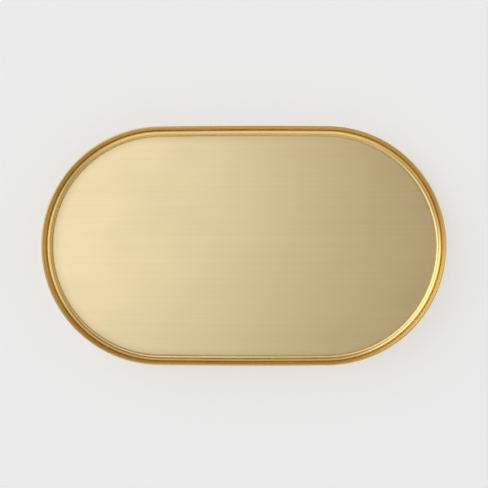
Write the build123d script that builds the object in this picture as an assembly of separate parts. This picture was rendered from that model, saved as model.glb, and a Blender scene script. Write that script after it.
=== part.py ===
"""A long round-ended brass serving tray, made of eight separate pieces.

A pan is drawn from thin brass sheet, and its top edge is rolled outwards over a wire.
A brushed brass plate is bonded to the pan's floor, and stops just short of the cove,
which leaves a fine seam all round. Four round pads underneath keep the pan off the table.

Units are millimetres. The tray lies face up: X runs along its length, Y across it and Z up.
The origin is under the tray's middle, on the surface that the pads stand on.
"""

import os
from math import atan2, cos, degrees, radians, sin
from typing import NamedTuple

from build123d import *

# Overall size, over the rolled edge
tray_length = 440.0
tray_width = 260.5
side_bow = 0.6  # how far each long side swells past the ends' radius

# Pan, drawn from one sheet
pan_gauge = 0.7
pan_height = 22.0  # from the pan's underside to the top of the rolled edge
cove_radius = 5.6  # inside, where the floor turns up into the wall
wall_lean = 1.0  # degrees, outwards
curl_turn = 280.0  # degrees that the sheet wraps around the wire

# Wire inside the rolled edge
wire_diameter = 0.8
wire_clearance = 0.05

# Floor plate and the film that bonds it to the pan
plate_gauge = 0.8
plate_edge_round = 0.2
seam_gap = 0.5  # from the plate's edge to where the cove starts
film_thickness = 0.2
film_setback = 3.0  # from the plate's edge to the film's edge

# Pads under the pan
pad_height = 1.5
pad_diameter = 14.0
pad_edge_bevel = 0.3
pad_bearing = 45.0  # degrees from the tray's length, seen from the end's centre
pad_setback = 20.0  # from the flat floor's edge to the pad's centre

# Outline: two end arcs and two long shallow side arcs, which meet without a corner
half_length = tray_length / 2
half_width = tray_width / 2
end_radius = half_width - side_bow
end_centre = half_length - end_radius
side_radius = (end_centre**2 + half_width**2 - end_radius**2) / (2 * side_bow)
side_centre = side_radius - half_width
side_half_turn = degrees(atan2(end_centre, side_centre))

# Heights
pan_underside = pad_height
pan_floor = pan_underside + pan_gauge
plate_underside = pan_floor + film_thickness
rim_top = pan_underside + pan_height

# Section of the rim: u runs outwards from the outline, and z runs up
hollow_radius = wire_diameter / 2 + wire_clearance
curl_radius = hollow_radius + pan_gauge
curl_centre = Vector(-curl_radius, rim_top - curl_radius)
wall_up = Vector(sin(radians(wall_lean)), cos(radians(wall_lean)))
wall_in = Vector(-wall_up.Y, wall_up.X)
cove_z = pan_floor + cove_radius
cove_drop = (cove_z - curl_centre.Y) * wall_in.Y
cove_u = curl_centre.X + (cove_radius + curl_radius - cove_drop) / wall_in.X
cove_centre = Vector(cove_u, cove_z)

plate_inset = seam_gap - cove_u
film_inset = plate_inset + film_setback


class OutlineArc(NamedTuple):
    """One arc of the tray's outline, seen from above."""

    centre: tuple[float, float]
    radius: float
    start: float
    turn: float


def outline_arcs():
    """The outline's four arcs, anticlockwise from the lower right."""
    end_turn = 180 - 2 * side_half_turn
    side_turn = 2 * side_half_turn
    return [
        OutlineArc((end_centre, 0), end_radius, side_half_turn - 90, end_turn),
        OutlineArc((0, -side_centre), side_radius, 90 - side_half_turn, side_turn),
        OutlineArc((-end_centre, 0), end_radius, 90 + side_half_turn, end_turn),
        OutlineArc((0, side_centre), side_radius, 270 - side_half_turn, side_turn),
    ]


def flat_sheet(inset, underside, thickness):
    """A flat sheet whose edge is the outline moved inwards by inset."""
    edges = [CenterArc(arc.centre, arc.radius - inset, arc.start, arc.turn) for arc in outline_arcs()]
    return Pos(0, 0, underside) * extrude(make_face(edges), thickness)


def around_outline(section):
    """Carry a section, drawn in u and z, along the outline's four arcs."""
    runs = []
    for arc in outline_arcs():
        start = radians(arc.start)
        outwards = (cos(start), sin(start), 0)
        sideways = (sin(start), -cos(start), 0)
        centre = (*arc.centre, 0)
        plane = Plane(origin=centre, x_dir=outwards, z_dir=sideways)
        placed = plane * Pos(arc.radius, 0) * section
        runs.append(revolve(placed, Axis(centre, (0, 0, 1)), arc.turn))
    ring = runs[0]
    for run in runs[1:]:
        ring += run
    return ring


def rim_section():
    """The rim's sheet in section: cove, wall and the curl over the wire, of one gauge."""
    wall_angle = degrees(atan2(wall_in.Y, wall_in.X))
    cove_turn = 90 - wall_lean
    cove_back = cove_radius + pan_gauge
    cove_foot = cove_centre - Vector(0, cove_radius)
    back_foot = cove_centre - Vector(0, cove_back)
    curl_end = wall_angle - curl_turn
    curl_tip = Vector(cos(radians(curl_end)), sin(radians(curl_end)))
    return make_face(
        [
            CenterArc(cove_centre, cove_radius, -90, cove_turn),
            Line(cove_centre - wall_in * cove_radius, curl_centre + wall_in * curl_radius),
            CenterArc(curl_centre, curl_radius, wall_angle, -curl_turn),
            Line(curl_centre + curl_tip * curl_radius, curl_centre + curl_tip * hollow_radius),
            CenterArc(curl_centre, hollow_radius, wall_angle, -curl_turn),
            Line(curl_centre + wall_in * hollow_radius, cove_centre - wall_in * cove_back),
            CenterArc(cove_centre, cove_back, -90, cove_turn),
            Line(back_foot, cove_foot),
        ]
    )


def make_tray_pan():
    """The drawn pan: flat floor, cove, wall and rolled edge in one sheet."""
    floor = flat_sheet(-cove_u, pan_underside, pan_gauge)
    return floor + around_outline(rim_section())


def make_rim_wire():
    """The wire that stiffens the rolled edge."""
    return around_outline(Pos(curl_centre.X, curl_centre.Y) * Circle(wire_diameter / 2))


def make_bonding_film():
    """The adhesive film between the pan's floor and the plate."""
    return flat_sheet(film_inset, pan_floor, film_thickness)


def make_floor_plate():
    """The brushed plate that is the tray's floor, with its top edge eased."""
    plate = flat_sheet(plate_inset, plate_underside, plate_gauge)
    top_edges = plate.faces().sort_by(Axis.Z)[-1].edges()
    return fillet(top_edges, plate_edge_round)


def make_foot_pad(side_x, side_y):
    """One round pad, near an end of the tray, with its lower edge bevelled."""
    reach = end_radius + cove_u - pad_setback
    x = side_x * (end_centre + reach * cos(radians(pad_bearing)))
    y = side_y * reach * sin(radians(pad_bearing))
    pad = Pos(x, y, 0) * extrude(Circle(pad_diameter / 2), pad_height)
    return chamfer(pad.edges().sort_by(Axis.Z)[0], pad_edge_bevel)


def make_all():
    """Every piece of the tray, by name."""
    pieces = {
        "tray_pan": make_tray_pan(),
        "floor_plate": make_floor_plate(),
        "bonding_film": make_bonding_film(),
        "rim_wire": make_rim_wire(),
    }
    corners = [(1, 1), (-1, 1), (-1, -1), (1, -1)]
    for number, (side_x, side_y) in enumerate(corners, start=1):
        pieces[f"foot_pad_{number}"] = make_foot_pad(side_x, side_y)
    return pieces


os.makedirs("parts", exist_ok=True)
for name, piece in make_all().items():
    export_step(piece, f"parts/{name}.step")
    print(f"{name}: {piece.volume:.1f} mm3")
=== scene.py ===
"""A long round-ended brass tray, dressed for a studio picture.

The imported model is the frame: every size and place here is read from its boxes, or is a
named field in metres. The pan, the floor plate and the pads are built again in fine mesh,
the hidden film and wire keep their own solids, and each finish is a small node material.
"""

import logging
from dataclasses import dataclass, field
from enum import Enum
from math import atan2, cos, pi, radians, sin
from typing import Iterable

import bmesh
import bpy
from mathutils import Matrix, Vector


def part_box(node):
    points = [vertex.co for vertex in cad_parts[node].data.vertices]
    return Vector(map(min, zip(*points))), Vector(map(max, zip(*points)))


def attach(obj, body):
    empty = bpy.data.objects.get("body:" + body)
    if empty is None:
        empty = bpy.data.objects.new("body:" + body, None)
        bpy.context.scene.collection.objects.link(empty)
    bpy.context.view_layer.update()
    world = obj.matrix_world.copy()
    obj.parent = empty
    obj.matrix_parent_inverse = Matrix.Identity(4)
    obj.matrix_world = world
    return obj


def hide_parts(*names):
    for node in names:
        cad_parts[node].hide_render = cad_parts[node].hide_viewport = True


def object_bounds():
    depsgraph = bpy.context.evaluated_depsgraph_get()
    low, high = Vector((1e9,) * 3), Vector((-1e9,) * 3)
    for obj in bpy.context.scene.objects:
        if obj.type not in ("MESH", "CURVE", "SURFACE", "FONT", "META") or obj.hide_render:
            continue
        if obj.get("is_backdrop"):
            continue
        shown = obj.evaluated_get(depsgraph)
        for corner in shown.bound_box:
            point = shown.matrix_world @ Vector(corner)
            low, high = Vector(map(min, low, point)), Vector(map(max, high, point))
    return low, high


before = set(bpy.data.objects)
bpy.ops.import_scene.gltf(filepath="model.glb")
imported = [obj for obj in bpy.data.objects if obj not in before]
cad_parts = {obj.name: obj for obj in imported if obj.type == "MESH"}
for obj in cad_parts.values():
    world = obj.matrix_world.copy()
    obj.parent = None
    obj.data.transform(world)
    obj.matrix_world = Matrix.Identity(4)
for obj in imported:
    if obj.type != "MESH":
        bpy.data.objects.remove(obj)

log = logging.getLogger("brass_tray")

MM = 0.001
SMOOTH_ANGLE = radians(35)
WELD = 0.01 * MM

# A Mix node keeps its float, vector and colour sockets side by side, so they go by number.
MIX_SHARE, MIX_FIRST_COLOUR, MIX_SECOND_COLOUR, MIX_COLOUR_RESULT = 0, 6, 7, 2

# The middle part of a noise's range, where nearly all of its values lie.
NOISE_LOW, NOISE_HIGH = 0.3, 0.7

Triple = tuple[float, float, float]


class Slot(Enum):
    """The record's material slots."""

    POLISHED_BRASS = "polished_brass"
    BRUSHED_BRASS = "brushed_brass"
    ADHESIVE_FILM = "adhesive_film"
    STEEL_WIRE = "steel_wire"
    PAD_RUBBER = "pad_rubber"


# ---------------------------------------------------------------- shader wiring


class Wire:
    """A node output that takes part in Python sums, each of which adds a Math node."""

    def __init__(self, sheet: "NodeSheet", socket: bpy.types.NodeSocket) -> None:
        """Wraps a socket.

        Args:
            sheet: The node sheet that the socket is on.
            socket: The output socket.
        """
        self.sheet = sheet
        self.socket = socket

    def _math(self, operation: str, *values: "Wire | float") -> "Wire":
        """Adds one Math node and returns its result."""
        return self.sheet.add("ShaderNodeMath", {"operation": operation}, values)

    def __add__(self, other: "Wire | float") -> "Wire":
        """self + other."""
        return self._math("ADD", self, other)

    def __sub__(self, other: "Wire | float") -> "Wire":
        """self - other."""
        return self._math("SUBTRACT", self, other)

    def __rsub__(self, other: float) -> "Wire":
        """other - self."""
        return self._math("SUBTRACT", other, self)

    def __mul__(self, other: "Wire | float") -> "Wire":
        """self * other."""
        return self._math("MULTIPLY", self, other)

    def __pow__(self, other: float) -> "Wire":
        """self to a power."""
        return self._math("POWER", self, other)

    def __abs__(self) -> "Wire":
        """The size of self, without its sign."""
        return self._math("ABSOLUTE", self)

    def root(self) -> "Wire":
        """The square root of self."""
        return self._math("SQRT", self)

    def at_least(self, floor: float) -> "Wire":
        """self, but never under floor."""
        return self._math("MAXIMUM", self, floor)

    def ramp(
        self, low: float, high: float, to_low: float = 0.0, to_high: float = 1.0
    ) -> "Wire":
        """Eases from to_low to to_high as self goes from low to high.

        Args:
            low: Where the change starts.
            high: Where the change ends.
            to_low: The result at low and before it.
            to_high: The result at high and past it.

        Returns:
            The eased value.
        """
        return self.sheet.add(
            "ShaderNodeMapRange",
            {"interpolation_type": "SMOOTHSTEP"},
            (self, low, high, to_low, to_high),
        )


class NodeSheet:
    """One node tree, emptied, with a single method that adds nodes."""

    def __init__(self, tree: bpy.types.NodeTree) -> None:
        """Empties a tree.

        Args:
            tree: The material's or world's node tree.
        """
        self.tree = tree
        tree.nodes.clear()

    def add(
        self,
        kind: str,
        settings: dict[str, object] | None = None,
        values: Iterable[object] | dict[str | int, object] = (),
        output: str | int = 0,
    ) -> Wire:
        """Adds one node, sets it up and joins its inputs.

        Args:
            kind: The node's type.
            settings: The node's own settings, such as a Math node's operation.
            values: Its inputs in order, or by name: numbers, colours or wires.
            output: The output to return.

        Returns:
            The chosen output.
        """
        node = self.tree.nodes.new(kind)
        for name, value in (settings or {}).items():
            setattr(node, name, value)
        pairs = values.items() if isinstance(values, dict) else enumerate(values)
        for key, value in pairs:
            if isinstance(value, Wire):
                self.tree.links.new(value.socket, node.inputs[key])
            else:
                node.inputs[key].default_value = value
        return Wire(self, node.outputs[output] if node.outputs else None)

    def place(self) -> Wire:
        """The piece's own coordinates, in metres."""
        return self.add("ShaderNodeTexCoord", output="Object")

    def axes(self, vector: Wire) -> tuple[Wire, Wire, Wire]:
        """A vector's X, Y and Z, each as a wire."""
        x = self.add("ShaderNodeSeparateXYZ", values=(vector,), output=0)
        node = x.socket.node
        return x, Wire(self, node.outputs[1]), Wire(self, node.outputs[2])

    def noise(self, per_metre: Triple, detail: float = 2.0, rough: float = 0.5) -> Wire:
        """Noise on the piece's own coordinates.

        Args:
            per_metre: How many grains a metre holds along X, Y and Z.
            detail: How many finer layers are added.
            rough: How strong the finer layers are.

        Returns:
            A value about 0.5, from 0 to 1.
        """
        stretched = self.add(
            "ShaderNodeMapping", values={"Vector": self.place(), "Scale": per_metre}
        )
        return self.add(
            "ShaderNodeTexNoise",
            values={"Vector": stretched, "Scale": 1.0, "Detail": detail, "Roughness": rough},
        )

    def blend(self, share: Wire | float, one: object, other: object) -> Wire:
        """Mixes two colours, from one to the other as share goes from 0 to 1."""
        return self.add(
            "ShaderNodeMix",
            {"data_type": "RGBA"},
            {
                MIX_SHARE: share,
                MIX_FIRST_COLOUR: self._colour(one),
                MIX_SECOND_COLOUR: self._colour(other),
            },
            output=MIX_COLOUR_RESULT,
        )

    @staticmethod
    def _colour(value: object) -> object:
        """A colour with its alpha, or a wire as it is."""
        return value if isinstance(value, Wire) else (*value, 1.0)

    def bump(self, height: Wire, depth: float, under: Wire | None = None) -> Wire:
        """A bumped normal.

        Args:
            height: The height, from 0 to 1.
            depth: How many metres high 1 is.
            under: A bump that this one lies on.

        Returns:
            The normal.
        """
        values: dict[str, object] = {"Height": height, "Distance": depth, "Strength": 1.0}
        if under is not None:
            values["Normal"] = under
        return self.add("ShaderNodeBump", values=values)


def new_material(name: str) -> tuple[bpy.types.Material, NodeSheet]:
    """Makes an empty node material.

    Args:
        name: The material's name.

    Returns:
        The material and its node sheet.
    """
    material = bpy.data.materials.new(name)
    material.use_nodes = True
    return material, NodeSheet(material.node_tree)


# ---------------------------------------------------------------- finishes


@dataclass(frozen=True)
class BrushedBrass:
    """Satin brass with a straight grain along the tray's length.

    Its roughness keeps to a narrow range over 0.28, so that no contour shows between a smoother
    part and a rougher one.
    """

    light: Triple = (0.77, 0.625, 0.345)
    dark: Triple = (0.72, 0.575, 0.305)
    rim_shade: Triple = (0.50, 0.36, 0.15)
    grain_share: float = 0.6
    roughness: float = 0.31
    rough_spread: float = 0.02
    grain_depth: float = 0.0006 * MM
    wave_depth: float = 0.22 * MM
    shade_reach: float = 9.0 * MM
    shade_most: float = 0.66

    def build(self, end_centre: float, end_radius: float) -> bpy.types.Material:
        """Builds the finish.

        Args:
            end_centre: How far each end's centre is from the plate's middle.
            end_radius: The radius of the plate's round ends.

        Returns:
            The finish as a material.
        """
        material, sheet = new_material("brushed_brass")
        fine = sheet.noise((14, 2600, 2600), detail=3, rough=0.6)
        long = sheet.noise((2.5, 420, 420), detail=2, rough=0.6)
        cloud = sheet.noise((9, 11, 9), detail=3, rough=0.55)
        wave = sheet.noise((5.0, 6.5, 5.0), detail=1, rough=0.4)
        grain = (fine * 0.5 + long * 0.5).ramp(NOISE_LOW, NOISE_HIGH)
        patch = cloud.ramp(NOISE_LOW, NOISE_HIGH)
        tone = grain * self.grain_share + patch * (1 - self.grain_share)
        # Painted shade: within shade_reach of the plate's edge its colour darkens towards
        # rim_shade, most on the −X side, where the rim blocks the light.
        x, y, _ = sheet.axes(sheet.place())
        along = (abs(x) - end_centre).at_least(0.0)
        inwards = end_radius - (along * along + y * y).root()
        near = 1.0 - (inwards * (1 / self.shade_reach)).at_least(0.0) ** 0.5
        side = (y * 0.3 - x + cloud * 0.04).ramp(-0.12, 0.2, 0.0, self.shade_most)
        shade = near.at_least(0.0) * side
        colour = sheet.blend(shade, sheet.blend(tone, self.dark, self.light), self.rim_shade)
        rough = patch * (2 * self.rough_spread) + (self.roughness - self.rough_spread)
        waved = sheet.bump(wave, self.wave_depth)
        grained = sheet.bump(fine, self.grain_depth, waved)
        shader = sheet.add(
            "ShaderNodeBsdfPrincipled",
            values={
                "Base Color": colour,
                "Metallic": 1.0,
                "Roughness": rough,
                "Normal": grained,
            },
        )
        sheet.add("ShaderNodeOutputMaterial", values=(shader,))
        return material


@dataclass(frozen=True)
class PolishedBrass:
    """Buffed brass, deep yellow, with faint lines that run along the rim."""

    light: Triple = (0.95, 0.715, 0.315)
    dark: Triple = (0.93, 0.685, 0.28)
    deep: Triple = (0.97, 0.70, 0.275)
    # Painted shade on the rolled edge.
    lip: Triple = (0.70, 0.50, 0.20)
    # Painted shade at the cove's foot, by the floor plate.
    seam_shade_colour: Triple = (0.5, 0.34, 0.15)
    roughness: float = 0.24
    line_share: float = 0.4
    upper_rough: float = 0.1
    seam_shade_rough: float = 0.3
    foot_height: float = 0.05 * MM
    line_depth: float = 0.0008 * MM

    def build(self, floor: float, lip_foot: float) -> bpy.types.Material:
        """Builds the finish.

        Args:
            floor: The height of the pan's flat floor, where shade is painted at the cove's foot.
            lip_foot: The height where the rolled edge starts, from which its colour is painted
                darker as shade.

        Returns:
            The finish as a material.
        """
        material, sheet = new_material("polished_brass")
        lines = sheet.noise((14, 14, 3200), detail=2, rough=0.5)
        cloud = sheet.noise((22, 22, 40), detail=3, rough=0.55)
        mottle = lines * self.line_share + cloud * (1 - self.line_share)
        tone = mottle.ramp(NOISE_LOW, NOISE_HIGH)
        x, y, z = sheet.axes(sheet.place())
        # Painted shade: just above the floor the cove's foot darkens, most on the −X side, where
        # the wall blocks the light; it is made rougher there too.
        foot = z.ramp(floor, floor + self.foot_height, 1.0, 0.0)
        side = (y * 0.3 - x + cloud * 0.05).ramp(-0.15, 0.2, 0.2, 0.8)
        seam_shade = foot * side
        upper = z.ramp(floor + 3.0 * MM, floor + 8.0 * MM)
        # Painted shade: the rolled edge takes the darker lip colour, standing in for the darker
        # surroundings that it reflects.
        lip_shade = z.ramp(lip_foot - 0.4 * MM, lip_foot + 0.4 * MM)
        sides = sheet.blend(upper, sheet.blend(tone, self.dark, self.light), self.deep)
        with_lip_shade = sheet.blend(lip_shade, sides, self.lip)
        colour = sheet.blend(seam_shade, with_lip_shade, self.seam_shade_colour)
        buffed = mottle.ramp(
            NOISE_LOW, NOISE_HIGH, self.roughness - 0.04, self.roughness + 0.05
        )
        rough = buffed + seam_shade * self.seam_shade_rough + upper * self.upper_rough
        shader = sheet.add(
            "ShaderNodeBsdfPrincipled",
            values={
                "Base Color": colour,
                "Metallic": 1.0,
                "Roughness": rough,
                "Normal": sheet.bump(lines, self.line_depth),
            },
        )
        sheet.add("ShaderNodeOutputMaterial", values=(shader,))
        return material


@dataclass(frozen=True)
class DrawnSteel:
    """Bare drawn steel wire."""

    light: Triple = (0.58, 0.575, 0.56)
    dark: Triple = (0.42, 0.41, 0.39)

    def build(self) -> bpy.types.Material:
        """Returns the finish as a material."""
        material, sheet = new_material("drawn_steel")
        scale = sheet.noise((160, 160, 160), detail=3)
        shader = sheet.add(
            "ShaderNodeBsdfPrincipled",
            values={
                "Base Color": sheet.blend(scale.ramp(0.35, 0.65), self.dark, self.light),
                "Metallic": 1.0,
                "Roughness": scale.ramp(NOISE_LOW, NOISE_HIGH, 0.3, 0.45),
            },
        )
        sheet.add("ShaderNodeOutputMaterial", values=(shader,))
        return material


@dataclass(frozen=True)
class AdhesiveFilm:
    """A thin milky adhesive film."""

    light: Triple = (0.80, 0.78, 0.70)
    dark: Triple = (0.70, 0.67, 0.57)

    def build(self) -> bpy.types.Material:
        """Returns the finish as a material."""
        material, sheet = new_material("adhesive_film")
        mottle = sheet.noise((90, 90, 90), detail=3)
        shader = sheet.add(
            "ShaderNodeBsdfPrincipled",
            values={
                "Base Color": sheet.blend(mottle.ramp(0.35, 0.65), self.dark, self.light),
                "Roughness": mottle.ramp(NOISE_LOW, NOISE_HIGH, 0.5, 0.65),
            },
        )
        sheet.add("ShaderNodeOutputMaterial", values=(shader,))
        return material


@dataclass(frozen=True)
class PadRubber:
    """Soft matte black rubber, with a little dust on it."""

    light: Triple = (0.075, 0.07, 0.065)
    dark: Triple = (0.03, 0.028, 0.026)
    pore_depth: float = 0.03 * MM

    def build(self) -> bpy.types.Material:
        """Returns the finish as a material."""
        material, sheet = new_material("pad_rubber")
        pores = sheet.noise((2400, 2400, 2400), detail=2)
        dust = sheet.noise((260, 260, 260), detail=4, rough=0.6)
        shader = sheet.add(
            "ShaderNodeBsdfPrincipled",
            values={
                "Base Color": sheet.blend(dust.ramp(0.4, 0.7), self.dark, self.light),
                "Roughness": dust.ramp(NOISE_LOW, NOISE_HIGH, 0.62, 0.8),
                "Normal": sheet.bump(pores, self.pore_depth),
            },
        )
        sheet.add("ShaderNodeOutputMaterial", values=(shader,))
        return material


@dataclass(frozen=True)
class PaleFloor:
    """The plain pale surface that the tray lies on, with a light of its own."""

    paint: Triple = (0.58, 0.58, 0.6)
    own_light: Triple = (0.94, 0.97, 1.0)
    own_share: float = 0.44
    dull_share: float = 0.99

    def build(self) -> bpy.types.Material:
        """Returns the finish as a material."""
        material, sheet = new_material("pale_floor")
        tooth = sheet.noise((30, 30, 30), detail=2)
        duller = tuple(v * self.dull_share for v in self.paint)
        shader = sheet.add(
            "ShaderNodeBsdfPrincipled",
            values={
                "Base Color": sheet.blend(tooth, duller, self.paint),
                "Roughness": 0.9,
                "Specular IOR Level": 0.0,
                "Emission Color": (*self.own_light, 1.0),
                "Emission Strength": self.own_share,
            },
        )
        sheet.add("ShaderNodeOutputMaterial", values=(shader,))
        return material


# ---------------------------------------------------------------- shape


@dataclass(frozen=True)
class Outline:
    """The tray's outline: two end arcs and two long shallow side arcs."""

    half_length: float
    half_width: float
    side_bow: float = 0.6 * MM
    end_steps: int = 96
    side_steps: int = 10

    @property
    def end_radius(self) -> float:
        """The radius of the round ends."""
        return self.half_width - self.side_bow

    @property
    def end_centre(self) -> float:
        """How far each end's centre is from the tray's middle."""
        return self.half_length - self.end_radius

    @property
    def side_radius(self) -> float:
        """The radius of the long sides."""
        squares = self.end_centre**2 + self.half_width**2 - self.end_radius**2
        return squares / (2 * self.side_bow)

    @property
    def side_half_turn(self) -> float:
        """Half the angle of each long side's arc."""
        return atan2(self.end_centre, self.side_radius - self.half_width)

    def carry(self, bm: bmesh.types.BMesh, geometry: list) -> None:
        """Spins geometry once round the outline, and welds the last ring to the first.

        Args:
            bm: The mesh.
            geometry: Vertices and edges that stand at the end of the lower long side,
                in the upright plane through the right end's centre.
        """
        side_centre = self.side_radius - self.half_width
        end_turn = pi - 2 * self.side_half_turn
        side_turn = 2 * self.side_half_turn
        arcs = [
            (Vector((self.end_centre, 0, 0)), end_turn, self.end_steps),
            (Vector((0, -side_centre, 0)), side_turn, self.side_steps),
            (Vector((-self.end_centre, 0, 0)), end_turn, self.end_steps),
            (Vector((0, side_centre, 0)), side_turn, self.side_steps),
        ]
        for centre, turn, steps in arcs:
            spun = bmesh.ops.spin(
                bm, geom=geometry, cent=centre, axis=(0, 0, 1), dvec=(0, 0, 0),
                angle=turn, steps=steps, use_merge=False, use_duplicate=False,
            )
            geometry = spun["geom_last"]
        bmesh.ops.remove_doubles(bm, verts=bm.verts, dist=WELD)

    def stand(self, bm: bmesh.types.BMesh, verts: list) -> None:
        """Moves a section, drawn in X (outwards from the outline) and Z, to where carry starts.

        Args:
            bm: The mesh.
            verts: The section's vertices.
        """
        start = self.side_half_turn - pi / 2
        out = Matrix.Translation((self.end_radius, 0, 0))
        turned = Matrix.Rotation(start, 4, "Z")
        across = Matrix.Translation((self.end_centre, 0, 0))
        bmesh.ops.transform(bm, matrix=across @ turned @ out, verts=verts)


def finish_mesh(bm: bmesh.types.BMesh, name: str, material: bpy.types.Material) -> bpy.types.Object:
    """Turns a bmesh into a smooth-shaded object with one material.

    Args:
        bm: The mesh, which is freed.
        name: The piece's name.
        material: Its material.

    Returns:
        The new object, at the origin.
    """
    mesh = bpy.data.meshes.new(name)
    bm.to_mesh(mesh)
    bm.free()
    mesh.polygons.foreach_set("use_smooth", [True] * len(mesh.polygons))
    mesh.set_sharp_from_angle(angle=SMOOTH_ANGLE)
    mesh.materials.append(material)
    piece = bpy.data.objects.new(name, mesh)
    bpy.context.scene.collection.objects.link(piece)
    return piece


@dataclass
class TrayPan:
    """The drawn pan: flat floor, cove, wall and an edge rolled over the wire."""

    outline: Outline
    underside: float
    rim_top: float
    wire_radius: float
    gauge: float = 0.7 * MM
    wire_clearance: float = 0.05 * MM
    cove_radius: float = 5.6 * MM
    wall_lean: float = radians(1.0)
    curl_turn: float = radians(280)
    flat_lead: float = 4.0 * MM
    cove_steps: int = 14
    wall_steps: int = 5
    curl_steps: int = 36

    @property
    def curl_radius(self) -> float:
        """The rolled edge's outer radius."""
        return self.wire_radius + self.wire_clearance + self.gauge

    @staticmethod
    def run(bm: bmesh.types.BMesh, start: list, way: Vector, steps: int) -> list:
        """Draws a straight run from start, in even steps, and returns its end."""
        drawn = bmesh.ops.spin(
            bm, geom=start, cent=(0, 0, 0), axis=(0, 1, 0), dvec=way / steps,
            angle=0, steps=steps, use_merge=False, use_duplicate=False,
        )
        return drawn["geom_last"]

    @staticmethod
    def turn(bm: bmesh.types.BMesh, start: list, centre: Vector, angle: float, steps: int) -> list:
        """Draws an arc about centre, clockwise if angle is over 0, and returns its end."""
        drawn = bmesh.ops.spin(
            bm, geom=start, cent=centre, axis=(0, 1, 0), dvec=(0, 0, 0),
            angle=angle, steps=steps, use_merge=False, use_duplicate=False,
        )
        return drawn["geom_last"]

    def section(self, bm: bmesh.types.BMesh) -> list:
        """Draws the face side of the rim's section, from the flat floor to the curl's tip.

        Args:
            bm: The mesh to draw in.

        Returns:
            The section's vertices and edges.
        """
        floor = self.underside + self.gauge
        curl = Vector((-self.curl_radius, 0, self.rim_top - self.curl_radius))
        cove_z = floor + self.cove_radius
        drop = (cove_z - curl.z) * sin(self.wall_lean)
        cove_x = curl.x - (self.cove_radius + self.curl_radius - drop) / cos(self.wall_lean)
        cove = Vector((cove_x, 0, cove_z))
        inwards = Vector((-cos(self.wall_lean), 0, sin(self.wall_lean)))

        far = bm.verts.new((cove_x - self.flat_lead, 0, floor))
        near = self.run(bm, [far], Vector((self.flat_lead * 0.75, 0, 0)), 1)
        foot = self.run(bm, near, Vector((self.flat_lead * 0.25, 0, 0)), 1)
        knee = self.turn(bm, foot, cove, -(pi / 2 - self.wall_lean), self.cove_steps)
        wall = curl + inwards * self.curl_radius - (cove - inwards * self.cove_radius)
        head = self.run(bm, knee, wall, self.wall_steps)
        self.turn(bm, head, curl, self.curl_turn, self.curl_steps)
        return [*bm.verts, *bm.edges]

    def build(self, material: bpy.types.Material) -> bpy.types.Object:
        """Builds the pan as one sheet of even gauge.

        Args:
            material: The pan's finish.

        Returns:
            The pan.
        """
        bm = bmesh.new()
        section = self.section(bm)
        self.outline.stand(bm, bm.verts[:])
        self.outline.carry(bm, section)
        low = self.underside + 2 * self.gauge
        edge = [e for e in bm.edges if e.is_boundary and e.verts[0].co.z < low]
        bmesh.ops.contextual_create(bm, geom=edge)
        bmesh.ops.recalc_face_normals(bm, faces=bm.faces)
        floor_face = max(bm.faces, key=lambda f: f.calc_area())
        if floor_face.normal.z < 0:
            bmesh.ops.reverse_faces(bm, faces=bm.faces)
        bmesh.ops.solidify(bm, geom=bm.faces[:], thickness=self.gauge)
        return finish_mesh(bm, "polished_pan", material)


@dataclass
class FloorPlate:
    """The brushed plate that lies in the pan, with its top edge eased."""

    outline: Outline
    inset: float
    underside: float
    top: float
    edge_round: float = 0.2 * MM
    margin: float = 1.5 * MM

    def build(self, material: bpy.types.Material) -> bpy.types.Object:
        """Builds the plate.

        Args:
            material: The plate's finish.

        Returns:
            The plate.
        """
        bm = bmesh.new()
        corner = bm.verts.new((-self.inset, 0, self.underside))
        self.outline.stand(bm, [corner])
        self.outline.carry(bm, [corner])
        bmesh.ops.contextual_create(bm, geom=bm.edges[:])
        raised = bmesh.ops.extrude_face_region(bm, geom=bm.faces[:])["geom"]
        up = Vector((0, 0, self.top - self.underside))
        risen = [v for v in raised if isinstance(v, bmesh.types.BMVert)]
        bmesh.ops.translate(bm, vec=up, verts=risen)
        bmesh.ops.recalc_face_normals(bm, faces=bm.faces)
        lip = [e for e in bm.edges if all(v.co.z > self.top - WELD for v in e.verts)]
        bmesh.ops.bevel(
            bm, geom=lip, offset=self.edge_round, offset_type="OFFSET", segments=3,
            profile=0.5, affect="EDGES", material=-1,
        )
        for face in sorted(bm.faces, key=lambda f: f.calc_area())[-2:]:
            bmesh.ops.inset_region(bm, faces=[face], thickness=self.margin, use_even_offset=True)
        return finish_mesh(bm, "brushed_floor", material)


@dataclass
class FootPad:
    """One soft round pad, with a rounded foot and a shallow dish under it."""

    name: str
    centre: Vector
    radius: float
    height: float
    edge_round: float = 0.35 * MM
    dish: float = 0.12 * MM
    steps: int = 64

    def build(self, material: bpy.types.Material) -> bpy.types.Object:
        """Builds the pad.

        Args:
            material: The pad's finish.

        Returns:
            The pad.
        """
        bm = bmesh.new()
        bmesh.ops.create_cone(
            bm, cap_ends=True, cap_tris=False, segments=self.steps,
            radius1=self.radius, radius2=self.radius, depth=self.height,
        )
        foot = [e for e in bm.edges if all(v.co.z < 0 for v in e.verts)]
        bmesh.ops.bevel(
            bm, geom=foot, offset=self.edge_round, offset_type="OFFSET", segments=4,
            profile=0.5, affect="EDGES", material=-1,
        )
        under = min(bm.faces, key=lambda f: f.calc_center_median().z)
        bmesh.ops.inset_region(bm, faces=[under], thickness=self.radius * 0.3)
        bmesh.ops.inset_region(bm, faces=[under], thickness=self.radius * 0.08)
        bmesh.ops.translate(bm, vec=(0, 0, self.dish), verts=under.verts[:])
        bmesh.ops.translate(bm, vec=self.centre, verts=bm.verts[:])
        return finish_mesh(bm, self.name, material)


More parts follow.
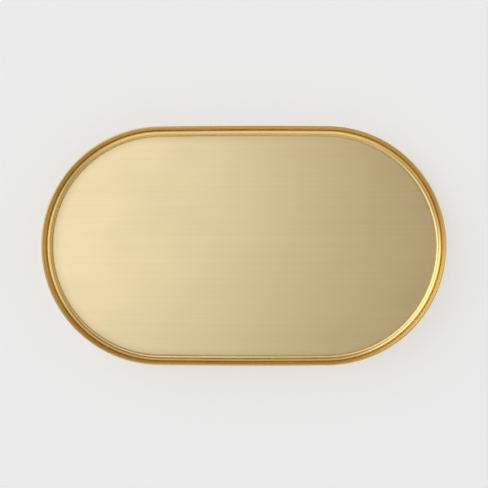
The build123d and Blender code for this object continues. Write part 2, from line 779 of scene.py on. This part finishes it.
@dataclass
class BrassTray:
    """The whole tray, piece by piece."""

    made: list[str] = field(default_factory=list)

    def report(self, piece: bpy.types.Object, nodes: Iterable[str]) -> None:
        """Fixes a new piece to the tray's body and says so.

        Args:
            piece: The new piece.
            nodes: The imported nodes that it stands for.
        """
        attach(piece, "root")
        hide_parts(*nodes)
        self.made.append(piece.name)
        log.info("%s: %d faces", piece.name, len(piece.data.polygons))

    def dress(self, node: str, material: bpy.types.Material) -> None:
        """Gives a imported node's own solid a better material.

        Args:
            node: The node.
            material: Its new finish.
        """
        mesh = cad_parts[node].data
        mesh.materials.clear()
        mesh.materials.append(material)
        self.made.append(node)
        log.info("%s: dressed", node)

    def build(self) -> None:
        """Builds and dresses every piece."""
        pan_low, pan_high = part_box("tray_pan")
        plate_low, plate_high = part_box("floor_plate")
        wire_low, wire_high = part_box("rim_wire")
        outline = Outline(half_length=pan_high.x, half_width=pan_high.y)
        pan = TrayPan(
            outline=outline, underside=pan_low.z, rim_top=pan_high.z,
            wire_radius=(wire_high.z - wire_low.z) / 2,
        )
        polished = PolishedBrass().build(
            floor=pan.underside + pan.gauge, lip_foot=pan.rim_top - 2 * pan.curl_radius,
        )
        self.report(pan.build(polished), ["tray_pan"])
        plate = FloorPlate(
            outline=outline, inset=pan_high.x - plate_high.x,
            underside=plate_low.z, top=plate_high.z,
        )
        brushed = BrushedBrass().build(
            end_centre=outline.end_centre, end_radius=plate_high.x - outline.end_centre,
        )
        self.report(plate.build(brushed), ["floor_plate"])
        rubber = PadRubber().build()
        for node in sorted(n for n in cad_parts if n.startswith("foot_pad_")):
            low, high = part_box(node)
            pad = FootPad(
                name=node.replace("foot", "rubber"), centre=(low + high) / 2,
                radius=(high.x - low.x) / 2, height=high.z - low.z,
            )
            self.report(pad.build(rubber), [node])
        self.dress("rim_wire", DrawnSteel().build())
        self.dress("bonding_film", AdhesiveFilm().build())


# ---------------------------------------------------------------- studio


@dataclass(frozen=True)
class Glow:
    """A round patch of light far away. A colour under 0 dims the surroundings instead.

    Azimuth, elevation, and the radii where it starts and has finished fading, are in degrees.
    """

    azimuth: float
    elevation: float
    inner: float
    outer: float
    colour: Triple


@dataclass
class Studio:
    """Floor, surroundings and camera. All light comes from the surroundings and the floor."""

    floor_size: float = 12.0
    base: Triple = (0.38, 0.35, 0.29)
    lens: float = 89.1
    reach: float = 1.31
    tilt: float = radians(-0.3)
    lean: float = radians(1.5)
    aim: tuple[float, float] = (1.2 * MM, 1.8 * MM)
    glows: tuple[Glow, ...] = (
        Glow(azimuth=0, elevation=-90, inner=90, outer=130, colour=(0.38, 0.38, 0.37)),
        Glow(azimuth=160, elevation=74, inner=2, outer=22, colour=(1.36, 1.5, 1.88)),
        Glow(azimuth=148, elevation=16, inner=18, outer=48, colour=(1.0, 1.1, 1.1)),
        Glow(azimuth=5, elevation=20, inner=16, outer=42, colour=(0.42, 0.42, 0.38)),
        Glow(azimuth=270, elevation=38, inner=10, outer=34, colour=(0.5, 0.5, 0.44)),
        Glow(azimuth=90, elevation=58, inner=12, outer=32, colour=(-0.1, -0.15, -0.18)),
    )

    def build(self, centre: Vector, rim_top: float) -> None:
        """Builds the studio round the tray.

        Args:
            centre: The tray's middle.
            rim_top: The height of the rim's top, which the camera is focused on.
        """
        self.lay_floor()
        self.set_surroundings()
        self.set_camera(centre, rim_top)
        bpy.context.scene.view_settings.view_transform = "Standard"

    def lay_floor(self) -> None:
        """Lays the pale floor under the pads."""
        bm = bmesh.new()
        bmesh.ops.create_grid(bm, x_segments=1, y_segments=1, size=self.floor_size / 2)
        floor = finish_mesh(bm, "pale_floor", PaleFloor().build())
        floor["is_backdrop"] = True
        log.info("pale floor laid")

    def set_surroundings(self) -> None:
        """Lights the surroundings: an even base with soft glows on it."""
        world = bpy.data.worlds.new("studio_surroundings")
        world.use_nodes = True
        bpy.context.scene.world = world
        sheet = NodeSheet(world.node_tree)
        way = sheet.add("ShaderNodeTexCoord", output="Generated")
        total: Wire | tuple = self.base
        for glow in self.glows:
            flat, up = radians(glow.azimuth), radians(glow.elevation)
            axis = (cos(flat) * cos(up), sin(flat) * cos(up), sin(up))
            dot = sheet.add(
                "ShaderNodeVectorMath", {"operation": "DOT_PRODUCT"}, (way, axis), output="Value"
            )
            share = dot.ramp(cos(radians(glow.outer)), cos(radians(glow.inner)))
            lit = sheet.add(
                "ShaderNodeVectorMath", {"operation": "SCALE"}, {0: glow.colour, "Scale": share}
            )
            total = sheet.add("ShaderNodeVectorMath", {"operation": "ADD"}, (total, lit))
        sky = sheet.add("ShaderNodeBackground", values={"Color": total, "Strength": 1.0})
        sheet.add("ShaderNodeOutputWorld", values=(sky,))

    def set_camera(self, centre: Vector, rim_top: float) -> None:
        """Sets the camera above the tray, looking down on its face.

        Args:
            centre: The tray's middle.
            rim_top: The height of the rim's top.
        """
        camera = bpy.data.cameras.new("camera")
        camera.lens = self.lens
        shot = bpy.data.objects.new("camera", camera)
        target = Vector((centre.x + self.aim[0], centre.y + self.aim[1], rim_top))
        level = cos(self.tilt)
        back = Vector((sin(self.lean) * level, sin(self.tilt), cos(self.lean) * level))
        shot.location = target + back * self.reach
        shot.rotation_euler = (-self.tilt, self.lean, 0)
        bpy.context.scene.collection.objects.link(shot)
        bpy.context.scene.camera = shot


def main() -> None:
    """Builds the tray and the studio round it."""
    logging.basicConfig(level=logging.INFO, format="%(name)s %(message)s")
    cad_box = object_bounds()
    tray = BrassTray()
    tray.build()
    low, high = cad_box
    Studio().build(centre=(low + high) / 2, rim_top=high.z)
    log.info("%d pieces", len(tray.made))


if __name__ == "__main__":
    main()
